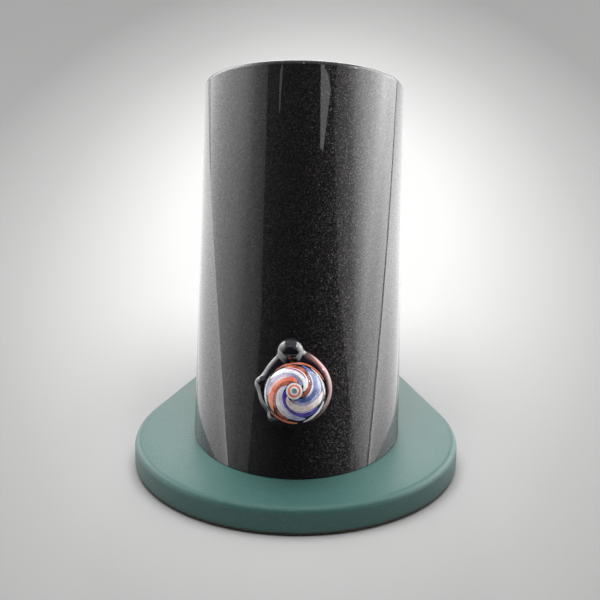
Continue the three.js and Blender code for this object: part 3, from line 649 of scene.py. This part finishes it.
def make_top_end():
    """The vented cover plate and its three screws."""
    screw_places = round_places(3, 43.4 * MM, math.pi / 2)
    holes = [(0, 0, 12.3 * MM)]
    holes += [(x, y, 1.8 * MM) for x, y in screw_places]
    holes += [(x, y, 2.2 * MM) for x, y in round_places(8, 34 * MM)]
    plate = plate_with_holes(BORE_RADIUS - 0.3 * MM, holes, TOP_FACE - 4 * MM, TOP_FACE)
    piece("top_cover", plate, HOUSING, "black_plate_paint", replaces=["top_plate"])
    seat = TOP_FACE / MM + 0.3
    for i, (x, y) in enumerate(screw_places):
        corners = [
            (0, seat - 10, 0),
            (1.5, seat - 10, 0.3),
            (1.5, seat, 0),
            (2.8, seat, 0.2),
            (2.8, seat + 1.7, 1.3),
            (1.35, seat + 1.7, 0),
        ]
        place = HOUSING @ Matrix.Translation((x, y, 0))
        socket_screw(f"top_button_{i + 1}", f"top_screw_{i + 1}", place, corners, 1.0 * MM, 1.0 * MM)


def make_heater():
    """The port's ring, the glass cover and the ceramic rod."""
    seat = TOP_FACE / MM + 0.3
    under = TOP_FACE / MM - 4
    collar = filleted(millimetres([
        (9.8, under - 12, 0.3),
        (12, under - 12, 0.4),
        (12, seat, 0),
        (17, seat, 0.4),
        (17, seat + 2.4, 1.0),
        (9.8, seat + 2.4, 0.6),
    ]))
    piece("port_ring", turned(collar), HOUSING, "polished_steel", replaces=["port_collar"])
    bead = seat + 2.7
    mouth = RIM / MM + 8
    cover = filleted(millimetres([
        (7.8, 142, 0.5),
        (9.4, 142, 0.5),
        (9.4, bead, 0.5),
        (13.2, bead, 1.6),
        (13.2, bead + 2.8, 1.6),
        (9.4, bead + 3.4, 0.8),
        (9.4, mouth, 0.6),
        (7.8, mouth, 0.6),
    ]), steps=7)
    piece("glass_cover", turned(cover, 128), HOUSING, "clear_glass", "cover", replaces=["heater_cover"])
    rod = filleted(millimetres([
        (0, 125.3, 0),
        (4.5, 125.3, 0.3),
        (4.5, 167, 1.2),
        (0, 167, 0),
    ]), closed=False)
    piece("ceramic_rod", turned(rod, 64), HOUSING, "white_ceramic", replaces=["heater_rod"])


def direction(degrees):
    """Unit vector in a plane, in a direction in degrees."""
    angle = math.radians(degrees)
    return Vector((math.cos(angle), math.sin(angle)))


def rounded_rectangle(half_x, half_y, corner, z, steps=8, chamfer=0.0):
    """Ring of a rectangle with round corners. The two corners towards +X can be cut off instead."""
    points = []
    for sign_x, sign_y, start in ((1, 1, 0), (-1, 1, 90), (-1, -1, 180), (1, -1, 270)):
        radius = max(corner, chamfer if sign_x > 0 else 0.0)
        cut_off = chamfer > 0 and sign_x > 0
        middle = Vector((sign_x * (half_x - radius), sign_y * (half_y - radius)))
        first, last = middle + radius * direction(start), middle + radius * direction(start + 90)
        for k in range(steps + 1):
            if cut_off:
                spot = first.lerp(last, k / steps)
            else:
                spot = middle + radius * direction(start + 90 * k / steps)
            points.append(Vector((*spot, z)))
    return points


def eased_rings(half_x, half_y, corner, top, ease):
    """Rings up round a rectangle's outer edge, which is rounded off by the ease."""
    rings = []
    for k in range(5):
        angle = math.radians(90 * k / 4)
        inset = ease * (1 - math.cos(angle))
        rings.append(rounded_rectangle(half_x - inset, half_y - inset, corner - inset,
                                       top - ease * (1 - math.sin(angle))))
    return rings


def make_inlet_shell(place):
    """The inlet's body, flange and socket, in one skin. It has no holes for its bolts."""
    low, face, mouth_ease, cut = 1.8 * MM, 4.2 * MM, 0.8 * MM, 4.5 * MM
    rings = [
        rounded_rectangle(9.9 * MM, 13.4 * MM, 1.5 * MM, -17 * MM),
        rounded_rectangle(9.9 * MM, 13.4 * MM, 1.5 * MM, low),
        rounded_rectangle(11.5 * MM, 25 * MM, 4 * MM, low),
    ]
    rings += eased_rings(11.5 * MM, 25 * MM, 4 * MM, face, 0.7 * MM)
    for k in range(5):
        angle = math.radians(90 * k / 4)
        inset = mouth_ease * (1 - math.sin(angle))
        rings.append(rounded_rectangle(7.9 * MM + inset, 11.4 * MM + inset, 1.2 * MM,
                                       face - mouth_ease * (1 - math.cos(angle)), chamfer=cut))
    rings.append(rounded_rectangle(7.8 * MM, 11.3 * MM, 1.2 * MM, -14 * MM, chamfer=cut))
    piece("inlet_shell", clean(skin(rings)), place, "black_plastic", replaces=["mains_inlet"])


def make_inlet_seat(place):
    """The moulded saddle between the round tube and the flat flange. It has no holes for the bolts."""
    seat, lift = 1.5 * MM, 0.15 * MM

    def on_tube(ring):
        return [Vector((p.x, p.y, math.sqrt(TUBE_RADIUS ** 2 - p.x ** 2) - TUBE_RADIUS + lift)) for p in ring]

    saddle = [on_tube(rounded_rectangle(14.5 * MM, 28 * MM, 5 * MM, 0))]
    saddle += eased_rings(14.5 * MM, 28 * MM, 5 * MM, seat, 1.0 * MM)
    window = rounded_rectangle(10.2 * MM, 13.7 * MM, 1.5 * MM, seat)
    saddle += [window, on_tube(window)]
    piece("inlet_seat", clean(skin(saddle, loop=True)), place, "black_plastic", replaces=["inlet_saddle"])


def make_inlet():
    """The mains inlet, with its seat, its three blades and its two bolts."""
    place = (HOUSING @ Matrix.Translation((0, TUBE_RADIUS, INLET_PLACE))
             @ Matrix.Rotation(math.radians(-90), 4, "X"))
    make_inlet_shell(place)
    make_inlet_seat(place)
    blade_sections = ((2.0, 1.0, -13.7), (2.0, 1.0, -5.2), (1.8, 0.8, -4.5), (1.3, 0.45, -4.0))
    for i, (x, y) in enumerate(((0, -7), (3.6, 0), (0, 7))):
        blade = [rounded_rectangle(half_x * MM, half_y * MM, 0.35 * MM, z * MM, 3)
                 for half_x, half_y, z in blade_sections]
        spot = place @ Matrix.Translation((x * MM, y * MM, 0))
        piece(f"inlet_blade_{i + 1}", clean(skin(blade)), spot, "brass", replaces=[f"inlet_pin_{i + 1}"])
    for i, y in enumerate((-20, 20)):
        corners = [
            (0, -5.8, 0),
            (1.5, -5.8, 0.3),
            (1.5, 2.8, 0),
            (2.8, 4.1, 0.15),
            (1.3, 4.1, 0),
        ]
        spot = place @ Matrix.Translation((0, y * MM, 0))
        socket_screw(f"inlet_bolt_{i + 1}", f"inlet_screw_{i + 1}", spot, corners, 1.0 * MM, 1.0 * MM)


# ---------------------------------------------------------------- glass knob

def disc_edge(turn):
    """Distance from the disc's middle to its edge, in a direction in degrees."""
    return DISC_RADIUS + sum(rise * math.exp(-((turn - at) / width) ** 2) for at, width, rise in DISC_SWELLS)


def make_disc():
    """The black disc: a plate with a full round edge, with lumps melted into it and a bored back."""
    turns = [360 * i / 160 for i in range(160)]
    centre_z = (DISC_BACK + DISC_FRONT) / 2
    rings = []
    for k in range(13):
        angle = math.radians(-90 + 15 * k)
        inset = DISC_ROUND * (1 - math.cos(angle))
        height = centre_z + DISC_ROUND * math.sin(angle)
        rings.append([Vector((
            DISC_CENTRE.x + (disc_edge(turn) - inset) * math.cos(math.radians(turn)),
            DISC_CENTRE.y + (disc_edge(turn) - inset) * math.sin(math.radians(turn)),
            height,
        )) for turn in turns])
    bm = skin(rings)
    for x, y, z, radius in DISC_LUMPS:
        spot = Matrix.Translation(Vector((x, y, z)) * MM)
        bmesh.ops.create_icosphere(bm, subdivisions=4, radius=radius * MM, matrix=spot)
    holder = bpy.data.objects.new("disc", clean(bm))
    bpy.context.scene.collection.objects.link(holder)
    remesh = holder.modifiers.new("melt", "REMESH")
    remesh.mode, remesh.voxel_size = "VOXEL", 0.45 * MM
    smooth = holder.modifiers.new("flow", "SMOOTH")
    smooth.factor, smooth.iterations = 0.5, 30
    bore_profile = [(0, -2), (7.4, -2), (7.4, 4.4), (5.3, 4.4), (5.3, 20), (0, 20)]
    bore = turned(millimetres(bore_profile), 48, closed=False)
    cutter = bpy.data.objects.new("bore", bore)
    bpy.context.scene.collection.objects.link(cutter)
    drill = holder.modifiers.new("drill", "BOOLEAN")
    drill.object, drill.operation, drill.solver = cutter, "DIFFERENCE", "EXACT"
    mesh = solid_of(holder)
    bpy.data.objects.remove(cutter)
    piece("glass_disc", mesh, KNOB, "black_glass", "knob", replaces=["knob_collar"], sharp=60)


def in_marble(x, y, lift):
    """Point on the marble's core that is seen at (x, y), in marble radii, through the clear glass."""
    reach = min(math.hypot(x, y), 0.985)
    turn = math.atan2(y, x)
    bend = math.asin(reach) - math.asin(reach / GLASS_INDEX)
    polar = math.asin(min(1.0, reach / (GLASS_INDEX * CORE_SHARE))) + bend
    size = CORE_SHARE * MARBLE_RADIUS + lift
    return size * Vector((
        math.sin(polar) * math.cos(turn),
        math.sin(polar) * math.sin(turn),
        math.cos(polar),
    ))


def swirl_band(name, turn, reach, width, lift, material, thick=0.35 * MM, steps=56, sides=10):
    """Ribbon of coloured glass inside the marble, along a spiral round its middle.

    Its direction in degrees and its distance out in marble radii each run from a first value to a last.
    It narrows towards both ends."""
    rings = []
    for i in range(steps + 1):
        share = i / steps
        angle = math.radians(turn[0] + (turn[1] - turn[0]) * share)
        middle = reach[0] + (reach[1] - reach[0]) * share
        half = 0.004 + width / 2 * math.sin(math.pi * share) ** 0.55
        ring = []
        for k in range(sides):
            around = 2 * math.pi * k / sides
            out = middle + half * math.cos(around)
            up = lift + thick / 2 * math.sin(around)
            ring.append(in_marble(out * math.cos(angle), out * math.sin(angle), up))
        rings.append(ring)
    piece(name, clean(skin(rings)), MARBLE, "swirl_glass", "knob", material=material, sharp=80)


def swirl_eye(name, size, lift, material, thick=0.4 * MM, steps=72):
    """Round spot of coloured glass on the marble's own axis."""
    rings = []
    for share, height in ((0.02, 0.5), (0.5, 0.48), (0.85, 0.36), (1.0, 0.0), (0.85, -0.3), (0.02, -0.3)):
        ring = []
        for k in range(steps):
            angle = 2 * math.pi * k / steps
            reach = size * share
            ring.append(in_marble(reach * math.cos(angle), reach * math.sin(angle), lift + thick * height))
        rings.append(ring)
    piece(name, clean(skin(rings)), MARBLE, "swirl_glass", "knob", material=material, sharp=80)


def cut_ball(radius, cut, steps=64):
    """Profile of a ball that is flat behind the height cut, from the back's axis to the front's."""
    first = math.asin(cut / radius)
    profile = [Vector((0, cut))]
    for i in range(steps + 1):
        angle = first + (math.pi / 2 - first) * i / steps
        profile.append(Vector((radius * math.cos(angle), radius * math.sin(angle))))
    return profile


def make_marble():
    back = 9.8 * MM - MARBLE_CENTRE.z
    shell = turned(cut_ball(MARBLE_RADIUS, back), 128, closed=False)
    piece("marble_glass", shell, MARBLE, "clear_glass", "knob", replaces=["knob_marble"])
    core = turned(cut_ball(CORE_SHARE * MARBLE_RADIUS, back + 0.5 * MM), 96, closed=False)
    piece("marble_core", core, MARBLE, "black_glass", "knob", material=finish("core_glass"))
    white = coloured_glass("white_swirl", (0.74, 0.74, 0.80), (0.97, 0.97, 0.97))
    cream = coloured_glass("cream_swirl", (0.62, 0.42, 0.38), (0.95, 0.92, 0.90), 420.0)
    lavender = coloured_glass("lavender_swirl", (0.20, 0.20, 0.46), (0.80, 0.80, 0.93), 150.0)
    haze = coloured_glass("haze_swirl", (0.06, 0.07, 0.24), (0.66, 0.67, 0.90), 170.0)
    orange = coloured_glass("orange_swirl", (0.80, 0.14, 0.07), (0.95, 0.36, 0.22), 240.0)
    amber = coloured_glass("amber_swirl", (0.05, 0.012, 0.010), (0.75, 0.20, 0.11), 420.0)
    blue = coloured_glass("blue_swirl", (0.015, 0.03, 0.14), (0.14, 0.22, 0.54), 260.0)
    green = coloured_glass("green_swirl", (0.10, 0.14, 0.26), (0.40, 0.56, 0.42), 520.0)
    purple = coloured_glass("purple_swirl", (0.04, 0.02, 0.25), (0.18, 0.12, 0.60), 300.0)
    red = coloured_glass("red_swirl", (0.28, 0.01, 0.03), (0.50, 0.03, 0.08), 300.0)
    deep, near, nearer = 0.2 * MM, 0.6 * MM, 1.0 * MM
    arms = (white, orange, lavender, cream, blue)
    fields = (haze, amber, purple)
    rims = (white, orange)
    for i in range(SWIRL_ARMS):
        start = 360 * i / SWIRL_ARMS
        between = start + 180 / SWIRL_ARMS
        swirl_band(f"swirl_field_{i + 1}", (between, between + ARM_TURN), (ARM_START, ARM_END), 0.26, deep,
                   fields[i % len(fields)])
        swirl_band(f"swirl_arm_{i + 1}", (start, start + ARM_TURN), (ARM_START, ARM_END), 0.22, near, arms[i])
        swirl_band(f"swirl_rim_{i + 1}", (start, start + 60), (0.965, 0.965), 0.07, deep, rims[i % len(rims)])
    draw = random.Random(5)
    for i in range(15):
        start = 360 * (i % SWIRL_ARMS) / SWIRL_ARMS
        first = draw.uniform(0.10, 0.50)
        last = first + draw.uniform(0.30, 0.45)
        shift = draw.uniform(-0.09, 0.09)
        turn = tuple(start + ARM_TURN * share for share in (first, last))
        reach = tuple(ARM_START + (ARM_END - ARM_START) * share + shift for share in (first, last))
        material = draw.choice((white, white, haze, cream, purple, red))
        swirl_band(f"swirl_streak_{i + 1}", turn, reach, draw.uniform(0.016, 0.05), near + 0.22 * MM,
                   material, 0.2 * MM)
    for i, (size, rise, material) in enumerate(((0.25, 0.0, white), (0.19, 0.25, orange),
                                                (0.13, 0.45, white), (0.08, 0.60, green))):
        swirl_eye(f"swirl_eye_{i + 1}", size, nearer + rise * MM, material)
    make_seam_thread(orange)


def make_seam_thread(material):
    """Thread of coloured glass round part of the seam between the marble and the disc."""
    centre, radius, count = Vector((0.6, -2.0, 9.75)) * MM, 15.1 * MM, 31
    start, step, thickness = 28, 3, 0.42 * MM
    rings = []
    for i in range(count):
        turn = math.radians(start + step * i)
        out = Vector((math.cos(turn), math.sin(turn), 0))
        at = centre + radius * out
        size = thickness * math.sin(math.pi * (i + 0.4) / (count - 0.2)) ** 0.5
        ring = []
        for k in range(8):
            around = k * math.pi / 4
            ring.append(at + size * (math.cos(around) * out + math.sin(around) * Vector((0, 0, 1))))
        rings.append(ring)
    piece("seam_thread", clean(skin(rings)), KNOB, "swirl_glass", "knob", material=material, sharp=80)


# ---------------------------------------------------------------- stage and light

def make_stage():
    """Plain pale floor with an oval pool of light painted into its colour: lightest in the middle, darker
    outwards.
    """
    reach = 6.0
    mesh = bpy.data.meshes.new("floor")
    mesh.from_pydata([(-reach, -reach, 0), (reach, -reach, 0), (reach, reach, 0), (-reach, reach, 0)],
                     [], [(0, 1, 2, 3)])
    s = Shader("floor")
    s.set(Roughness=0.9, Specular_IOR_Level=0.1)
    centre_y, half_x, half_y = 0.37, 0.197, 0.60
    # Painted light: the floor's colour falls from light to dark outwards from the oval's middle, a painted
    # pool of light.
    levels = [(0.0, 0.70), (0.22, 0.66), (0.333, 0.53), (0.466, 0.39), (0.66, 0.27)]
    pool = s.node("ShaderNodeMapping")
    s.link(s.place, pool.inputs["Vector"])
    pool.inputs["Location"].default_value = (0, -centre_y / half_y / 2, 0)
    pool.inputs["Scale"].default_value = (1 / half_x / 2, 1 / half_y / 2, 0)
    length = s.node("ShaderNodeVectorMath", operation="LENGTH")
    s.link(pool.outputs["Vector"], length.inputs[0])
    s.colour(s.ramp(length.outputs["Value"], *[(out, grey(level)) for out, level in levels]))
    mesh.materials.append(s.material)
    ground = bpy.data.objects.new("floor", mesh)
    bpy.context.scene.collection.objects.link(ground)


def board(name, corners, material, diffuse=True, glossy=True, shadow=True):
    """A flat board beside the set, which shows only in the kinds of light path that are asked for."""
    mesh = bpy.data.meshes.new(name)
    mesh.from_pydata(corners, [], [tuple(range(len(corners)))])
    mesh.materials.append(material)
    made = bpy.data.objects.new(name, mesh)
    bpy.context.scene.collection.objects.link(made)
    made.visible_camera = False
    made.visible_diffuse = diffuse
    made.visible_glossy = glossy
    made.visible_shadow = shadow


def lamp(name, strength):
    """Even, slightly warm light."""
    s = Shader(name)
    s.shine(strength, (1.0, 0.995, 0.985, 1))
    return s.material


def window_light(name, levels, shares):
    """Daylight that grows towards the back and fades towards the floor."""
    s = Shader(name)
    axes = s.node("ShaderNodeSeparateXYZ")
    s.link(s.place, axes.inputs["Vector"])
    start, end = PANEL_SPAN
    along = s.node("ShaderNodeMapRange")
    s.feed(along, Value=axes.outputs["Y"])
    along.inputs["From Min"].default_value, along.inputs["From Max"].default_value = start, end
    strongest = max(level for _, level in levels)
    level = s.ramp(along.outputs["Result"],
                   *[((y - start) / (end - start), grey(value / strongest)) for y, value in levels])
    height = s.math("DIVIDE", axes.outputs["Z"], PANEL_TOP)
    share = s.ramp(height, *[(z / PANEL_TOP, grey(value)) for z, value in shares])
    s.shine(s.math("MULTIPLY", s.math("MULTIPLY", level, share), strongest))
    return s.material


def sweep_light(name, strength):
    """Light that grows outwards from the base and fades towards the back."""
    s = Shader(name)
    axes = s.node("ShaderNodeSeparateXYZ")
    s.link(s.place, axes.inputs["Vector"])
    out = s.node("ShaderNodeMapRange")
    s.feed(out, Value=s.math("ABSOLUTE", axes.outputs["X"]))
    out.inputs["From Min"].default_value, out.inputs["From Max"].default_value = SWEEP_SPAN
    out.inputs["To Min"].default_value, out.inputs["To Max"].default_value = 0.35 * strength, strength
    fade = s.node("ShaderNodeMapRange")
    s.feed(fade, Value=axes.outputs["Y"])
    fade.inputs["From Min"].default_value, fade.inputs["From Max"].default_value = 0.3, 0.8
    fade.inputs["To Min"].default_value, fade.inputs["To Max"].default_value = 1.0, 0.35
    s.shine(s.math("MULTIPLY", out.outputs["Result"], fade.outputs["Result"]))
    return s.material


def matt(name, level):
    """Plain cloth with faint clouds."""
    s = Shader(name)
    s.set(Roughness=1.0, Specular_IOR_Level=0.0)
    s.colour(s.ramp(s.noise(2.0), (0.0, grey(level)), (1.0, grey(level * 1.2))))
    return s.material


def upright(y, half_x, low, high):
    """Corners of a rectangle that stands across the set, at a distance behind the tube's axis."""
    return [(-half_x, y, low), (half_x, y, low), (half_x, y, high), (-half_x, y, high)]


def make_lights():
    """The world's light, the cards beside the set, and the sparks."""
    world = bpy.data.worlds.new("studio")
    bpy.context.scene.world = world
    world.use_nodes = True
    background = world.node_tree.nodes["Background"]
    background.inputs["Color"].default_value = (0.97, 0.99, 1.0, 1)
    background.inputs["Strength"].default_value = 0.5

    side, back = 0.70, PANEL_SPAN[1]
    left_edge = [(-0.4, 0.175), (0.3, 0.04), (back, 0.035), (back, PANEL_TOP), (-0.4, PANEL_TOP), (-0.6, 0.6)]
    right_edge = [(-0.15, 0.075), (back, 0.075), (back, PANEL_TOP), (-0.6, PANEL_TOP), (-0.5, 0.6)]
    board("left_panel", [(-side, y, z) for y, z in left_edge],
          window_light("left_window", LEFT_LEVELS, LEFT_SHARES), diffuse=False)
    board("right_panel", [(side, y, z) for y, z in right_edge],
          window_light("right_window", RIGHT_LEVELS, RIGHT_SHARES), diffuse=False)
    for name, sign, rise, back_rise, strength in (
            ("left_sweep", -1, 0.115, 0.015, 3.6),
            ("right_sweep", 1, 0.055, 0.055, 4.4)):
        near, far = SWEEP_SPAN[0] * sign, SWEEP_SPAN[1] * sign
        sweep = [(near, -0.2, 0.004), (far, -0.2, rise), (far, 0.3, back_rise), (far, 1.3, back_rise),
                 (near, 1.3, 0.004)]
        board(name, sweep, sweep_light(name, strength), diffuse=False, shadow=False)
    board("front_flag", upright(-1.0, 2.6, 0.1, 1.9), matt("flag_cloth", 0.008), shadow=False)
    strip_y = -0.98
    strip = [(0.55, strip_y, 1.25), (0.64, strip_y, 1.25), (0.98, strip_y, 1.48), (0.56, strip_y, 1.48)]
    board("strip", strip, lamp("strip", 1.8), diffuse=False, shadow=False)
    sliver = [(-0.77, strip_y, 1.36), (-0.73, strip_y, 1.36), (-0.68, strip_y, 1.48), (-0.8, strip_y, 1.48)]
    board("sliver", sliver, lamp("sliver", 0.9), diffuse=False, shadow=False)
    half, top = 0.7, 1.5
    ceiling = [(-half, 0.1 - half, top), (-half, 0.1 + half, top),
               (half, 0.1 + half, top), (half, 0.1 - half, top)]
    board("overhead", ceiling, lamp("overhead", 4.9), glossy=False)
    board("back_wall", upright(2.2, 1.6, 0.1, 2.0), lamp("back_wall", 1.0))
    board("back_glow", upright(2.1, 0.42, 0.1, 2.0), lamp("back_glow", 3.2))
    for name, spot, across, up in (
            ("spark_top", Vector((0.0, -0.44, 1.3)), Vector((0.02, 0, 0)), Vector((0, 0.02, 0))),
            ("spark_right", Vector((0.68, 0.01, 0.7)), Vector((0, 0.025, 0)), Vector((0, 0, 0.03)))):
        board(name, [spot - across - up, spot + across - up, spot + across + up, spot - across + up],
              lamp(name, 40.0), diffuse=False, shadow=False)


make_camera()
make_base()
make_tube()
make_top_end()
make_heater()
make_inlet()
make_disc()
make_marble()
make_stage()
make_lights()
bpy.context.scene.view_settings.view_transform = "Standard"

record_slots = {part["node"]: part["material_slot"] for part in frame["record"]["subparts"]}
for node_name, node_object in frame["nodes"].items():
    slot_name = record_slots[node_name]
    # The swirl's own node is clear glass: its coloured ribbons are pieces with materials of their own.
    shown = finish("clear_glass" if slot_name == "swirl_glass" else slot_name)
    node_object.data.materials.clear()
    node_object.data.materials.append(shown)
